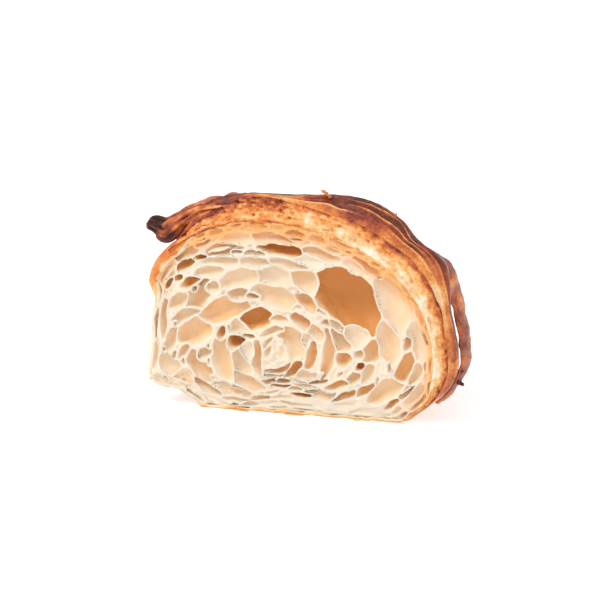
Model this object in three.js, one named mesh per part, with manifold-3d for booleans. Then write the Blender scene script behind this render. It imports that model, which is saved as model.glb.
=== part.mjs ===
// A croissant cut in half across its middle. It is one baked piece: it lies on its flat underside, with the
// cut face towards -Y and the horn towards +Y. Millimetres, +Z up, origin under the middle of the piece.
import * as THREE from "three";
import { mergeVertices } from "three/addons/utils/BufferGeometryUtils.js";
import Module from "manifold-3d";

const wasm = await Module();
wasm.setup();

// Driving dimensions of the body, from the cut face at y = 0 to the horn's end.
const HALF_LENGTH = 76;
const CORE = new THREE.Vector2(-3, 20); // x and z of the middle of the roll in the cut face
const CRESCENT_BEND = 9; // how far the horn leans towards -X
const HORN_LIFT = 1.5; // how far the horn's end rides above the table
const FLAT_BELOW = 2.5; // how deep the round section is before the table flattens it
const TAPER_LENGTH = 84; // where the taper would come to a point, past the rounded end
const TAPER_POWER = 1.9;
const TAPER_SHARPNESS = 1.15;
const END_ROUNDING = 8; // y over which the horn's end rounds off

// The rolled layers that show outside: each band ends, towards the horn, in an edge that stands proud.
// The first band is the outermost wrap, which has a thickness of its own below.
const WRAP_EDGES = [25, 43, 59]; // y of each edge
const WRAP_LIPS = [1.0, 3.4, 2.8, 1.6]; // how proud each band stands, the last one being the horn's
const EDGE_LENGTH = 1.4; // y that an edge takes to drop
const EDGE_SLANT = 3.5; // each edge runs this much further back on one side than on the other

// The outermost wrap: a thick strap from the lower right, over the top, to a loose tip at the upper left.
const STRAP_FLANK = 4.6; // its thickness on the right flank
const STRAP_TOP = 6.3; // and over the top
const STRAP_SHOULDER = 4.7; // how much thicker it is on the shoulder between them
const STRAP_FRONT = 2.6; // y at which its front edge has risen to the full thickness
const STRAP_ROOT = 0.015; // shares of the way round the section
const STRAP_FULL = 0.075;
const STRAP_THICKENS = 0.28;
const SHOULDER_RISES = [0.11, 0.225];
const SHOULDER_FALLS = [0.255, 0.35];
const STRAP_THINS = 0.415;
const STRAP_TIP = 0.49;
const STRAP_BACK = 0.55; // share of the thickness that is left at its back edge

// The cut face's outline, anticlockwise from the lower right corner, as x and z.
const FACE_OUTLINE = [
  [30, 1.5], [35.5, 6.5], [37, 14], [36.3, 23], [33, 32], [27, 38.5], [20, 43.5], [11, 47.7],
  [0, 50.3], [-12, 51], [-22, 49.6], [-29.5, 46.8], [-36.5, 42.8], [-41.6, 37.6], [-43.2, 32.4],
  [-41, 27.4], [-42.2, 22.5], [-43, 15], [-42.8, 8.6], [-39.8, 5.4], [-33.5, 4.2], [-29.5, 1.2],
  [-25, -FLAT_BELOW], [-8, -FLAT_BELOW], [8, -FLAT_BELOW], [24, -FLAT_BELOW],
];

// The largest cells of the crumb, open at the cut face: x, z, half length, half height, tilt in degrees
// and depth. The knife's cut opens them; smaller cells are too fine for this solid.
const CELLS = [
  [13.3, 30.8, 8.6, 5.4, -42, 15], [24.6, 29.6, 6.6, 2.9, -62, 9], [-5.4, 43.2, 5.4, 1.5, -4, 9],
  [8.6, 41.6, 5.6, 1.5, -16, 6], [-6.2, 30.9, 5.0, 2.5, -18, 8], [-17.6, 34.4, 4.8, 2.0, 14, 7],
  [-20.6, 27.2, 5.6, 2.4, 16, 9], [-12.6, 24.4, 3.8, 2.1, 14, 12], [-29.8, 19.0, 4.4, 2.9, 34, 9],
  [-29.8, 11.4, 4.9, 2.5, -50, 8], [-22.4, 14.6, 4.9, 2.1, 98, 9], [24.0, 20.0, 4.4, 2.1, 96, 9],
  [29.0, 14.2, 3.8, 1.8, 62, 8], [23.4, 7.2, 3.8, 2.0, 30, 8], [-20.4, 40.2, 5.0, 1.4, 6, 7],
];

// The burnt loose tip of the outermost wrap: points along it with a half width across Y and a half thickness.
const TIP_PATH = [
  [[-28, 9, 50.0], 5.0, 2.0], [[-34, 8, 48.0], 5.5, 2.4], [[-39, 7, 45.9], 4.4, 2.2],
  [[-42.8, 6.4, 45.3], 2.8, 1.7], [[-45.4, 6, 46.2], 1.8, 1.3],
];

// The blistered skin that stands off the right flank: an arched strip, held at both ends.
const SKIN_PATH = [
  [[28.5, 14, 40.4], 5.5, 1.2], [[34.6, 14.5, 37.6], 5.5, 0.9], [[39.6, 15, 31.2], 5.2, 0.7],
  [[42.8, 15, 22.0], 5.0, 0.7], [[42.0, 15, 12.6], 4.8, 0.8], [[35.4, 14.5, 6.0], 4.4, 1.2],
];

const AROUND = 64; // points round a section
const ROWS_IN_BAND = 6;
const RING_SIDES = 10; // sides of the tip's and the skin's sections
const CELL_DETAIL = 2; // icosahedron subdivisions of a cell

const smooth = (from, to, x) => THREE.MathUtils.smoothstep(x, from, to);

// A closed triangle mesh as a solid.
function solidFrom(positions, indices) {
  const geometry = new THREE.BufferGeometry();
  geometry.setAttribute("position", new THREE.BufferAttribute(new Float32Array(positions), 3));
  if (indices) geometry.setIndex(indices);
  const merged = mergeVertices(geometry, 1e-4);
  return new wasm.Manifold(new wasm.Mesh({
    numProp: 3,
    vertProperties: merged.attributes.position.array,
    triVerts: new Uint32Array(merged.index.array),
  }));
}

// Rings of points, all with the same count, joined into a tube and closed at both ends by a fan.
function loft(rings) {
  const count = rings[0].length;
  const positions = rings.flat().flatMap((p) => [p.x, p.y, p.z]);
  const indices = [];
  for (let r = 0; r + 1 < rings.length; r++) {
    for (let i = 0; i < count; i++) {
      const a = r * count + i;
      const b = r * count + ((i + 1) % count);
      indices.push(a, a + count, b, b, a + count, b + count);
    }
  }
  for (const [ring, first] of [[rings[0], 0], [rings.at(-1), (rings.length - 1) * count]]) {
    const middle = ring.reduce((sum, p) => sum.add(p), new THREE.Vector3()).divideScalar(count);
    const centre = positions.push(middle.x, middle.y, middle.z) / 3 - 1;
    for (let i = 0; i < count; i++) {
      const next = first + ((i + 1) % count);
      if (first === 0) indices.push(centre, first + i, next);
      else indices.push(centre, next, first + i);
    }
  }
  const made = solidFrom(positions, indices);
  if (made.volume() > 0) return made;
  const turned = indices.slice();
  for (let i = 0; i < turned.length; i += 3) [turned[i + 1], turned[i + 2]] = [turned[i + 2], turned[i + 1]];
  return solidFrom(positions, turned);
}

// Points round the cut face with their outward normals, evenly spaced.
function faceSection() {
  const points = FACE_OUTLINE.map(([x, z]) => new THREE.Vector3(x, 0, z));
  const curve = new THREE.CatmullRomCurve3(points, true, "centripetal");
  return Array.from({ length: AROUND }, (_, i) => {
    const share = i / AROUND;
    const along = curve.getTangentAt(share);
    return { share, point: curve.getPointAt(share), normal: new THREE.Vector3(along.z, 0, -along.x) };
  });
}

// How thick the outermost wrap is, at a share of the way round: thickest on the shoulder at the upper right.
function strapThickness(share) {
  const plain = THREE.MathUtils.lerp(STRAP_FLANK, STRAP_TOP, smooth(STRAP_FULL, STRAP_THICKENS, share));
  const shoulder = smooth(...SHOULDER_RISES, share) * (1 - smooth(...SHOULDER_FALLS, share));
  const full = plain + STRAP_SHOULDER * shoulder;
  return full * smooth(STRAP_ROOT, STRAP_FULL, share) * (1 - smooth(STRAP_THINS, STRAP_TIP, share));
}

// The stations along Y: one just behind the cut, then each band's rows, close together at its edge.
function stations() {
  const list = [{ y: 0, band: 0, share: 0 }, { y: STRAP_FRONT / 2, band: 0, share: 0.05 }];
  const starts = [STRAP_FRONT, ...WRAP_EDGES.map((y) => y + EDGE_LENGTH)];
  const ends = [...WRAP_EDGES, HALF_LENGTH];
  starts.forEach((start, band) => {
    for (let i = 0; i <= ROWS_IN_BAND; i++) {
      const share = i / ROWS_IN_BAND;
      const eased = band === starts.length - 1 ? Math.sin(share * Math.PI / 2) : share;
      list.push({ y: THREE.MathUtils.lerp(start, ends[band], eased), band, share });
    }
  });
  return list;
}

// One section of the body at a station: the cut face's outline shrunk towards the horn, with its bands.
function bodyRing(section, { y, band, share }) {
  const rounding = Math.max(0, (y - HALF_LENGTH + END_ROUNDING) / END_ROUNDING);
  const round = Math.sqrt(1 - Math.min(0.985, rounding ** 2));
  const size = (1 - (y / TAPER_LENGTH) ** TAPER_POWER) ** TAPER_SHARPNESS;
  const swell = Math.sin(Math.PI * (0.07 + 0.55 * share));
  const lip = y === 0 ? 0 : WRAP_LIPS[band] * swell;
  const thinned = THREE.MathUtils.lerp(1, STRAP_BACK, smooth(STRAP_FRONT, WRAP_EDGES[0], y));
  const strap = band === 0 && y > 0 ? smooth(-0.6, STRAP_FRONT, y) * thinned : 0;
  const lean = -CRESCENT_BEND * (y / HALF_LENGTH) ** 2;
  const lift = HORN_LIFT * (y / HALF_LENGTH) ** 3;
  const middle = new THREE.Vector3(CORE.x + lean, y, (CORE.y + FLAT_BELOW) * size - FLAT_BELOW + lift);
  return section.map(({ share: turn, point, normal }) => {
    const proud = lip * (0.4 + 0.6 * smooth(2, 12, point.z)) + strap * strapThickness(turn);
    const slant = EDGE_SLANT * Math.sin(2 * Math.PI * turn) * smooth(2, 20, y) * (1 - smooth(62, 76, y));
    const x = (point.x - CORE.x) * size + normal.x * proud;
    const z = (point.z - CORE.y) * size + normal.z * proud;
    return new THREE.Vector3(x * round, slant, z * round).add(middle);
  });
}

// A strip of oval sections along a smooth path through its points.
function strip(path) {
  const curve = new THREE.CatmullRomCurve3(path.map(([p]) => new THREE.Vector3(...p)), false, "centripetal");
  const steps = (path.length - 1) * 3;
  return loft(Array.from({ length: steps + 1 }, (_, s) => {
    const t = s / steps;
    const at = Math.min(path.length - 2, Math.floor(t * (path.length - 1)));
    const part = t * (path.length - 1) - at;
    const halfWidth = THREE.MathUtils.lerp(path[at][1], path[at + 1][1], part);
    const halfThick = THREE.MathUtils.lerp(path[at][2], path[at + 1][2], part);
    const along = curve.getTangent(t);
    const out = new THREE.Vector3(along.z, 0, -along.x).normalize();
    return Array.from({ length: RING_SIDES }, (_, i) => {
      const turn = 2 * Math.PI * i / RING_SIDES;
      return curve.getPoint(t)
        .addScaledVector(new THREE.Vector3(0, 1, 0), halfWidth * Math.cos(turn))
        .addScaledVector(out, halfThick * Math.sin(turn));
    });
  }));
}

// One cell of the crumb: an egg whose wide middle lies in the cut face and whose end points into the body.
function cell([x, z, halfLength, halfHeight, tilt, depth]) {
  const egg = new THREE.IcosahedronGeometry(1, CELL_DETAIL);
  egg.scale(halfLength, depth, halfHeight);
  egg.rotateY(THREE.MathUtils.degToRad(-tilt));
  egg.translate(x, 0, z);
  egg.deleteAttribute("normal");
  egg.deleteAttribute("uv");
  return solidFrom(egg.getAttribute("position").array);
}

// A box that takes away what lies below the table.
function belowTable() {
  const box = new THREE.BoxGeometry(300, 300, 50).translate(0, 50, -25);
  box.deleteAttribute("normal");
  box.deleteAttribute("uv");
  return solidFrom(box.getAttribute("position").array, Array.from(box.index.array));
}

function croissantSolid() {
  const section = faceSection();
  let body = loft(stations().map((station) => bodyRing(section, station)));
  for (const piece of [strip(TIP_PATH), strip(SKIN_PATH)]) body = body.add(piece);
  for (const pore of CELLS.map(cell)) body = body.subtract(pore);
  return body.subtract(belowTable());
}

// A solid as three.js geometry, moved so that the origin is under the middle of its box.
function geometryOf(solid) {
  const mesh = solid.getMesh();
  const geometry = new THREE.BufferGeometry();
  geometry.setAttribute("position", new THREE.BufferAttribute(new Float32Array(mesh.vertProperties), 3));
  geometry.setIndex(new THREE.BufferAttribute(new Uint32Array(mesh.triVerts), 1));
  geometry.computeBoundingBox();
  const { min, max } = geometry.boundingBox;
  geometry.translate(-(min.x + max.x) / 2, -(min.y + max.y) / 2, -min.z);
  geometry.computeVertexNormals();
  return geometry;
}

const bakedDough = new THREE.MeshStandardMaterial({ color: 0xc07a3a, roughness: 0.55, metalness: 0 });

const croissant = new THREE.Mesh(geometryOf(croissantSolid()), bakedDough);
croissant.name = "half_croissant";

const model = new THREE.Group();
model.add(croissant);

export default model;
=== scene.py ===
"""Half a butter croissant, cut across its middle and lying on its flat underside, in a plain bright studio.

Shapes are worked out in millimetres: x and z as in the cut face, y as the distance behind the cut. place()
turns them into metres in the frame's own axes.
"""
import math

import bpy
import numpy as np
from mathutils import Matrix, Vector


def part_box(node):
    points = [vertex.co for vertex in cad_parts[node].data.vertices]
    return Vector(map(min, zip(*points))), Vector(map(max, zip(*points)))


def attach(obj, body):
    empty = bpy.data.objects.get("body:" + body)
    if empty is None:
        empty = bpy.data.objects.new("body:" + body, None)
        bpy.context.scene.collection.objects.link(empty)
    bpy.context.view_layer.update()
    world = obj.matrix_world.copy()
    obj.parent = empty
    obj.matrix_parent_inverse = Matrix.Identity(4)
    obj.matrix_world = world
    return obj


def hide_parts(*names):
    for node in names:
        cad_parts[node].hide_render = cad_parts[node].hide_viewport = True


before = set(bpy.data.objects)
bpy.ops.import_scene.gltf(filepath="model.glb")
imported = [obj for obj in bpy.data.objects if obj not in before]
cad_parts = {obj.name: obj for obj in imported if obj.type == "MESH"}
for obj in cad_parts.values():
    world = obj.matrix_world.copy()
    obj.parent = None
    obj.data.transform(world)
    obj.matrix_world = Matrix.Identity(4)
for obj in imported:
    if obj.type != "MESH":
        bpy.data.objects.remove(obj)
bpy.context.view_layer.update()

NODE = "half_croissant"
NODE_LOW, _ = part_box(NODE)

MM = 0.001
SEED = 7
LATTICE_SIDE = 32         # points along each side of the lattice that the noise repeats
OCTAVE_SHIFT = 7.3        # lattice steps between one octave's place and the next
OUTLINE_POINTS = 2048

# --- the body, with the same driving dimensions as the frame's solid ---------------------------------
TIP_REACH = -45.86        # x of the loose tip, which is the farthest left that the solid reaches
HALF_LENGTH = 76.0        # from the cut to the horn's end
CORE_X, CORE_Z = -3.0, 20.0   # the point that the sections shrink towards
CRESCENT_BEND = 9.0       # how far to the left the horn bends
HORN_LIFT = 1.5           # and how far it lifts
FLAT_BELOW = 2.5          # how far the outline runs below the floor, which presses it flat
TAPER_LENGTH = 84.0
TAPER_POWER = 1.9
TAPER_SHARPNESS = 1.15
END_ROUNDING = 8.0        # the horn's last millimetres, which round off
WRAP_EDGES = (25.0, 43.0, 59.0)     # y of each band's edge
WRAP_LIPS = (1.0, 3.4, 2.8, 1.6)    # how proud each band stands
EDGE_LENGTH = 0.7         # how much y each edge takes to drop
EDGE_SLANT = 3.5          # how far the bands run askew
# The outer wrap is a strap of this thickness on the flank and on top. The rest are shares of the way round.
STRAP_FLANK, STRAP_TOP = 4.6, 6.3
STRAP_SHOULDER = 4.7
SHOULDER_RISES, SHOULDER_FALLS = (0.11, 0.225), (0.255, 0.35)
STRAP_ROOT, STRAP_FULL = 0.015, 0.075
STRAP_THICKENS, STRAP_THINS, STRAP_TIP = 0.28, 0.415, 0.49
STRAP_BACK = 0.55         # the share of its thickness that is left at its back edge
FACE_FRONT, FACE_TUCKED = 0.12, 0.75   # y of its torn face, and of that face's inner edge behind the crumb
FLOOR_GAP = 0.02          # how far above the floor the lowest dough lies
CRUST_AROUND = 440
CRUST_ROWS = (46, 4, 32, 4, 28, 4, 34)      # rows in each band and, between them, in each drop
SHOULDER_LEAST, SHOULDER_UPPER, SHOULDER_LOWER = 0.25, 2.9, 0.9   # how far the crust's front edge turns in
PEELS_AHEAD = (1.0, 2.1, 3.6)               # how far before a band's edge its thin layers end
PEEL_THICK, PEEL_DROP = 0.22, 0.35
WRAP_AROUND = 640
FACE_ROWS, NEAR_ROWS, FAR_ROWS = 26, 56, 42
TERRACES = (0.30, 0.52, 0.66, 0.95)         # where the thin layers end, as shares of the terraces' reach
BLISTER, DIP = (2.2, 0.165, 0.018), (0.9, 0.205, 0.016)   # height, share of the way round and width
# The cut face's outline: x and z.
FACE_OUTLINE = (
    (30, 1.5), (35.5, 6.5), (37, 14), (36.3, 23), (33, 32), (27, 38.5), (20, 43.5), (11, 47.7),
    (0, 50.3), (-12, 51), (-22, 49.6), (-29.5, 46.8), (-36.5, 42.8), (-41.6, 37.6), (-43.2, 32.4),
    (-41, 27.4), (-42.2, 22.5), (-43, 15), (-43.1, 8.3), (-41.2, 5.0), (-34.2, 3.8), (-29.5, 1.2),
    (-25, -FLAT_BELOW), (-8, -FLAT_BELOW), (8, -FLAT_BELOW), (24, -FLAT_BELOW),
)

# --- the crumb --------------------------------------------------------------------------------------
CRUMB_TRIANGLES = 190000  # the crumb's mesh is thinned to about this many
VOXEL = 0.34              # fineness of the crumb's lattice
CRUMB_DEPTH = 13.0        # how far behind the cut the crumb is modelled
CRUST_THICK = 0.55        # crust left round the crumb
MEMBRANE = 0.50           # unbroken dough just inside the crust
ROLL_X, ROLL_Z = -4.7, 14.8   # middle of the rolled layers
ROLL_LAYERS = 9.9         # layers from the middle to the crust
WALL_THIN, WALL_THICK = 0.36, 0.54
WANDER_X, WANDER_Z = 0.42, 0.36   # how far noise shifts the cells' walls
CELL_LEAN = 1.9           # the cells lean up by this much as they go back
LEAN_WITHIN = 3.5         # and do so over about this depth
CELL_REACH = 1.32         # how far past its own ellipsoid a cell may swell until it meets a neighbour
SHEET_THIN, SHEET_THICK = 0.38, 0.56   # the rolled sheets between the rows of cells
ROLL_HEART = 4.2          # radius of the plain dough in the roll's middle
DEEP_CELLS = 1            # the first ones below are truly deep; the others are shallower, with painted shade so they look deep
DEEP_CELL_SPACE = 1.22    # small cells keep clear of a deep one grown by this
SPIRAL_START = 2.0        # turns out from the middle at which the rows of cells start
SPIRAL_STEP = 1.72        # half lengths from one cell of a row to the next
AHEAD = 0.05              # radians ahead at which a row's direction is taken
SMALL_CELL_TRIES = 1500
ENCLOSURE_TRIES = 40
# The cells that stand out: x, z, half length, half height, tilt in degrees, and how deep they look (depth and
# painted shade).
OPEN_CELLS = (
    # the deepest, and those round it
    (13.3, 30.8, 8.6, 5.4, -42, 13), (-5.2, 43.0, 5.5, 1.45, -6, 11), (25.0, 30.6, 6.6, 2.8, -66, 4.2),
    (1.5, 35.2, 3.5, 2.4, -28, 4.5), (-7.4, 35.6, 4.6, 2.4, -6, 2.6), (-16.8, 34.7, 5.2, 2.0, 14, 3.2),
    (-3.0, 39.3, 4.6, 1.2, -8, 1.8), (5.4, 42.2, 4.6, 1.1, -14, 2.8), (18.6, 39.6, 4.2, 0.9, -32, 1.8),
    (-12.5, 41.7, 2.4, 0.9, 0, 2.6), (-18.2, 41.9, 2.0, 0.7, 2, 2.6),
    (-12.5, 39.3, 3.8, 1.3, -2, 1.9), (-22.1, 39.2, 4.7, 1.4, 4, 2.0),
    # upper left
    (-27.7, 39.6, 2.0, 0.8, 12, 6), (-32.4, 37.4, 2.7, 1.3, 34, 7), (-34.4, 33.8, 1.2, 0.9, 30, 5),
    (-30.6, 33.0, 2.4, 1.1, 26, 7), (-37.0, 32.3, 1.6, 0.8, 62, 4), (-29.3, 31.0, 1.3, 1.0, 40, 4),
    (-25.6, 35.8, 3.4, 1.2, 12, 2.2), (-25.2, 31.6, 2.4, 1.4, 16, 2.8), (-34.2, 27.6, 2.7, 1.4, 30, 2.6),
    (-31.6, 24.2, 3.7, 1.5, 26, 2.4), (-39.4, 30.0, 2.2, 0.7, 80, 3),
    # the second row, under the arch
    (-7.0, 30.8, 5.4, 2.4, -18, 4.2), (1.6, 29.6, 3.0, 1.5, -38, 5), (-13.6, 30.2, 2.2, 0.8, 0, 3.5),
    (-21.4, 26.2, 5.9, 2.5, 20, 6), (-12.8, 24.1, 4.0, 2.2, 18, 11), (-6.4, 24.4, 2.4, 0.8, -4, 2),
    (10.1, 23.4, 2.1, 1.2, -40, 3), (6.9, 24.0, 1.3, 0.8, -30, 3), (15.0, 21.8, 3.3, 2.8, -10, 2.8),
    # left and lower left
    (-29.7, 19.7, 4.1, 2.9, 26, 5.5), (-38.2, 22.6, 4.6, 0.8, 88, 2.6), (-36.2, 17.2, 2.8, 1.4, 66, 2.6),
    (-27.2, 13.8, 2.2, 1.3, 46, 2.8), (-28.0, 10.0, 4.1, 2.1, -54, 4.6), (-36.4, 10.2, 3.2, 1.8, -42, 2.4),
    (-26.0, 5.2, 4.8, 1.1, -20, 3.0), (-14.9, 7.0, 4.2, 1.6, -30, 3.2), (-40.6, 20.6, 4.4, 0.6, 88, 2),
    (-32.4, 14.6, 2.2, 1.0, 60, 2.0),
    # the rings round the middle
    (-22.2, 19.6, 1.6, 0.9, 70, 5), (-18.2, 17.9, 2.2, 1.7, 24, 10), (-15.0, 19.4, 1.8, 0.7, 6, 4.5),
    (-21.8, 12.8, 4.9, 2.2, 104, 4.4), (-16.7, 12.2, 3.4, 2.0, 110, 3.0), (-12.4, 13.4, 4.2, 1.1, 100, 3.6),
    (-1.8, 18.6, 4.6, 2.5, 122, 4.4), (-1.6, 11.4, 2.9, 1.2, 52, 6), (2.9, 15.6, 4.0, 1.1, 86, 4.6),
    (-7.6, 21.4, 3.4, 0.9, 14, 2.2), (7.8, 16.2, 5.8, 1.5, 82, 4.4),
    # right and lower right
    (24.0, 20.4, 4.4, 2.4, 100, 4.6), (19.5, 17.6, 2.9, 2.0, 70, 5), (16.2, 16.6, 1.4, 1.1, 10, 2.2),
    (11.6, 15.4, 1.6, 1.9, 0, 5), (16.4, 13.2, 1.4, 1.0, 50, 7), (18.4, 11.9, 2.3, 1.3, 60, 2.6),
    (28.3, 13.8, 4.1, 1.7, 64, 6), (31.4, 12.2, 3.6, 1.3, 68, 2.4), (29.3, 20.4, 1.9, 1.1, 80, 3.6),
    (23.4, 7.6, 4.5, 2.0, 32, 4.4),
    (17.6, 7.2, 2.4, 1.0, 36, 4), (14.9, 10.6, 2.6, 1.1, 32, 2.6), (29.2, 7.6, 3.4, 0.9, 44, 3),
    (10.4, 8.1, 2.9, 0.9, 20, 3.6), (11.6, 5.2, 3.7, 0.9, 14, 3.4), (25.2, 4.2, 2.2, 0.7, 34, 4),
    (1.0, 4.6, 2.9, 0.55, 4, 8), (-5.4, 6.6, 3.0, 0.5, -3, 3), (4.4, 8.4, 2.6, 0.6, 10, 4),
)

CUT_Y = NODE_LOW.y / MM
SHIFT_X = NODE_LOW.x / MM - TIP_REACH


def place(x, y, z):
    """Millimetres in the cut face's own axes as metres in the frame."""
    return np.stack(np.broadcast_arrays((x + SHIFT_X) * MM, (y + CUT_Y) * MM, z * MM), axis=-1)


# --- small tools ------------------------------------------------------------------------------------
def ease(start, end, value):
    """0 before start and 1 after end, by 3t^2 - 2t^3 between them."""
    t = np.clip((value - start) / (end - start), 0.0, 1.0)
    return t * t * (3.0 - 2.0 * t)


def between(rise, fall, value):
    """1 between two stretches and 0 outside them, eased over each stretch."""
    return ease(*rise, value) * (1.0 - ease(*fall, value))


def bell(value, height, middle, width):
    """A bell curve: height times e to the power -((value - middle) / width)^2."""
    return height * np.exp(-((value - middle) / width) ** 2)


def mix(first, second, share):
    """The first value at share 0 and the second at share 1, straight between them."""
    return first + (second - first) * share


LATTICES = {}


def lattice(seed):
    """A block of random values from -1 to 1, made once for each seed."""
    if seed not in LATTICES:
        LATTICES[seed] = np.random.default_rng(seed).uniform(-1.0, 1.0, 3 * (LATTICE_SIDE,))
    return LATTICES[seed]


def soft_noise(seed, size, x, y, z, octaves=1):
    """Random values on a cubic lattice, eased between its points.

    The seed only picks the values. The size is the lattice's step in millimetres. Each octave halves that
    step and its own weight.
    """
    values = lattice(seed)
    total, weight = 0.0, 1.0
    for octave in range(octaves):
        here = [np.asarray(axis) / size + OCTAVE_SHIFT * octave for axis in (x, y, z)]
        base = [np.floor(axis).astype(int) for axis in here]
        part = [axis - low for axis, low in zip(here, base)]
        part = [t * t * (3.0 - 2.0 * t) for t in part]
        for corner in range(8):
            step = [(corner >> bit) & 1 for bit in range(3)]
            share = 1.0
            for t, up in zip(part, step):
                share = share * (t if up else 1.0 - t)
            at = tuple((low + up) % LATTICE_SIDE for low, up in zip(base, step))
            total = total + weight * share * values[at]
        size, weight = size / 2.0, weight / 2.0
    return total


def closed_curve(points, pieces_each=48):
    """A smooth closed curve through the points, evenly spaced: a centripetal Catmull-Rom spline.

    Gives the shares of the way round, x and z there, and the whole length.
    """
    knots = np.array(points, float)
    before, after, beyond = (np.roll(knots, shift, axis=0) for shift in (1, -1, -2))
    def knot_step(a, b):
        return np.sqrt(np.linalg.norm(b - a, axis=1))[:, None]
    d0, d1, d2 = knot_step(before, knots), knot_step(knots, after), knot_step(after, beyond)
    slope_in = ((knots - before) / d0 - (after - before) / (d0 + d1) + (after - knots) / d1) * d1
    slope_out = ((after - knots) / d1 - (beyond - knots) / (d1 + d2) + (beyond - after) / d2) * d1
    t = (np.arange(pieces_each) / pieces_each)[None, :, None]
    a, b, m, n = (v[:, None, :] for v in (knots, after, slope_in, slope_out))
    dense = (a * (2 * t**3 - 3 * t**2 + 1) + b * (3 * t**2 - 2 * t**3)
             + m * (t**3 - 2 * t**2 + t) + n * (t**3 - t**2)).reshape(-1, 2)
    step = np.linalg.norm(np.roll(dense, -1, axis=0) - dense, axis=1)
    share = np.concatenate(([0.0], np.cumsum(step)[:-1])) / step.sum()
    even = np.arange(OUTLINE_POINTS) / OUTLINE_POINTS
    x = np.interp(even, share, dense[:, 0], period=1.0)
    z = np.interp(even, share, dense[:, 1], period=1.0)
    return even, x, z, step.sum()


SHARES, LINE_X, LINE_Z, LINE_LENGTH = closed_curve(FACE_OUTLINE)
ALONG_X = np.roll(LINE_X, -1) - np.roll(LINE_X, 1)
ALONG_Z = np.roll(LINE_Z, -1) - np.roll(LINE_Z, 1)
ALONG = np.hypot(ALONG_X, ALONG_Z)


def section(turn):
    """Point of the cut face's outline at a share of the way round, and the outward normal there."""
    values = (LINE_X, LINE_Z, ALONG_Z / ALONG, -ALONG_X / ALONG)
    return [np.interp(turn, SHARES, v, period=1.0) for v in values]


def rings(rows, around):
    """Shares of the length as a column, and angles round each ring as a row."""
    return np.linspace(0.0, 1.0, rows)[:, None], (np.arange(around) / around)[None, :] * 2 * math.pi


def add_mesh(name, points, faces, attributes):
    """A mesh piece from points in metres and faces, with smooth shading and one float attribute per name."""
    mesh = bpy.data.meshes.new(name)
    flat = np.concatenate([np.asarray(f, np.int32).reshape(-1) for f in faces])
    sizes = np.concatenate([np.full(len(f), f.shape[1], np.int32) for f in faces])
    mesh.vertices.add(len(points))
    mesh.vertices.foreach_set("co", np.ascontiguousarray(points, np.float32).reshape(-1))
    mesh.loops.add(len(flat))
    mesh.loops.foreach_set("vertex_index", flat)
    mesh.polygons.add(len(sizes))
    mesh.polygons.foreach_set("loop_start", np.concatenate(([0], np.cumsum(sizes)[:-1])).astype(np.int32))
    mesh.update(calc_edges=True)
    mesh.validate()
    mesh.shade_smooth()
    for label, values in attributes.items():
        layer = mesh.attributes.new(label, "FLOAT", "POINT")
        layer.data.foreach_set("value", np.ascontiguousarray(values, np.float32).reshape(-1))
    piece = bpy.data.objects.new(name, mesh)
    bpy.context.scene.collection.objects.link(piece)
    return piece


def closed_tube(name, x, y, z, attributes):
    """Rows of closed rings, each ring one row of the arrays, joined and fanned shut at both ends."""
    rows, around = x.shape
    points = place(x, y, z).reshape(-1, 3)
    ends = np.stack([points[:around].mean(0), points[-around:].mean(0)])
    points = np.concatenate([points, ends])
    index = np.arange(rows * around).reshape(rows, around)
    following = np.roll(index, -1, axis=1)
    quads = np.stack([index[:-1], following[:-1], following[1:], index[1:]], -1).reshape(-1, 4)
    first, last = rows * around, rows * around + 1
    start_fan = np.stack([np.full(around, first), following[0], index[0]], -1)
    end_fan = np.stack([np.full(around, last), index[-1], following[-1]], -1)
    a, b, c = (points[quads[:, i]] for i in (0, 1, 2))
    volume = np.einsum("ij,ij->i", a, np.cross(b, c)).sum()
    if volume < 0:
        quads, start_fan, end_fan = quads[:, ::-1], start_fan[:, ::-1], end_fan[:, ::-1]
    full = {}
    for label, values in attributes.items():
        values = np.broadcast_to(values, x.shape)
        full[label] = np.concatenate([values.reshape(-1), [values[0].mean(), values[-1].mean()]])
    return add_mesh(name, points, (quads, start_fan, end_fan), full)


# --- the body's skin --------------------------------------------------------------------------------
def wrap_edge(band, turn):
    """y at which a band of the roll ends: its edge wanders a little round the body."""
    x, z, _, _ = section(turn)
    return (WRAP_EDGES[band] + 1.3 * soft_noise(20 + band, 11.0, x, 0.0, z)
            + 0.35 * soft_noise(24 + band, 2.2, x, 0.0, z))


def body_size(y):
    """How large a section is: it shrinks from 1 at the cut with a power of y."""
    return (1.0 - (np.maximum(y, 0.0) / TAPER_LENGTH) ** TAPER_POWER) ** TAPER_SHARPNESS


def body_point(turn, y, proud):
    """The outline shrunk towards the horn and moved out along its normal by proud: x, y and z.

    The middle of the section leans by y squared and lifts by y cubed, and the last few millimetres round off
    by the square root of 1 - t^2.
    """
    x0, z0, out_x, out_z = section(turn)
    rounding = np.clip((y - HALF_LENGTH + END_ROUNDING) / END_ROUNDING, 0.0, None)
    plump = np.sqrt(1.0 - np.minimum(0.985, rounding**2))
    size = body_size(y)
    along = y / HALF_LENGTH
    middle_x = CORE_X - CRESCENT_BEND * along**2
    middle_z = (CORE_Z + FLAT_BELOW) * size - FLAT_BELOW + HORN_LIFT * along**3
    slant = EDGE_SLANT * np.sin(2 * math.pi * turn) * ease(2, 20, y) * (1 - ease(62, 76, y))
    x = middle_x + ((x0 - CORE_X) * size + out_x * proud) * plump
    z = middle_z + ((z0 - CORE_Z) * size + out_z * proud) * plump
    return x, y + slant, z


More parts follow.
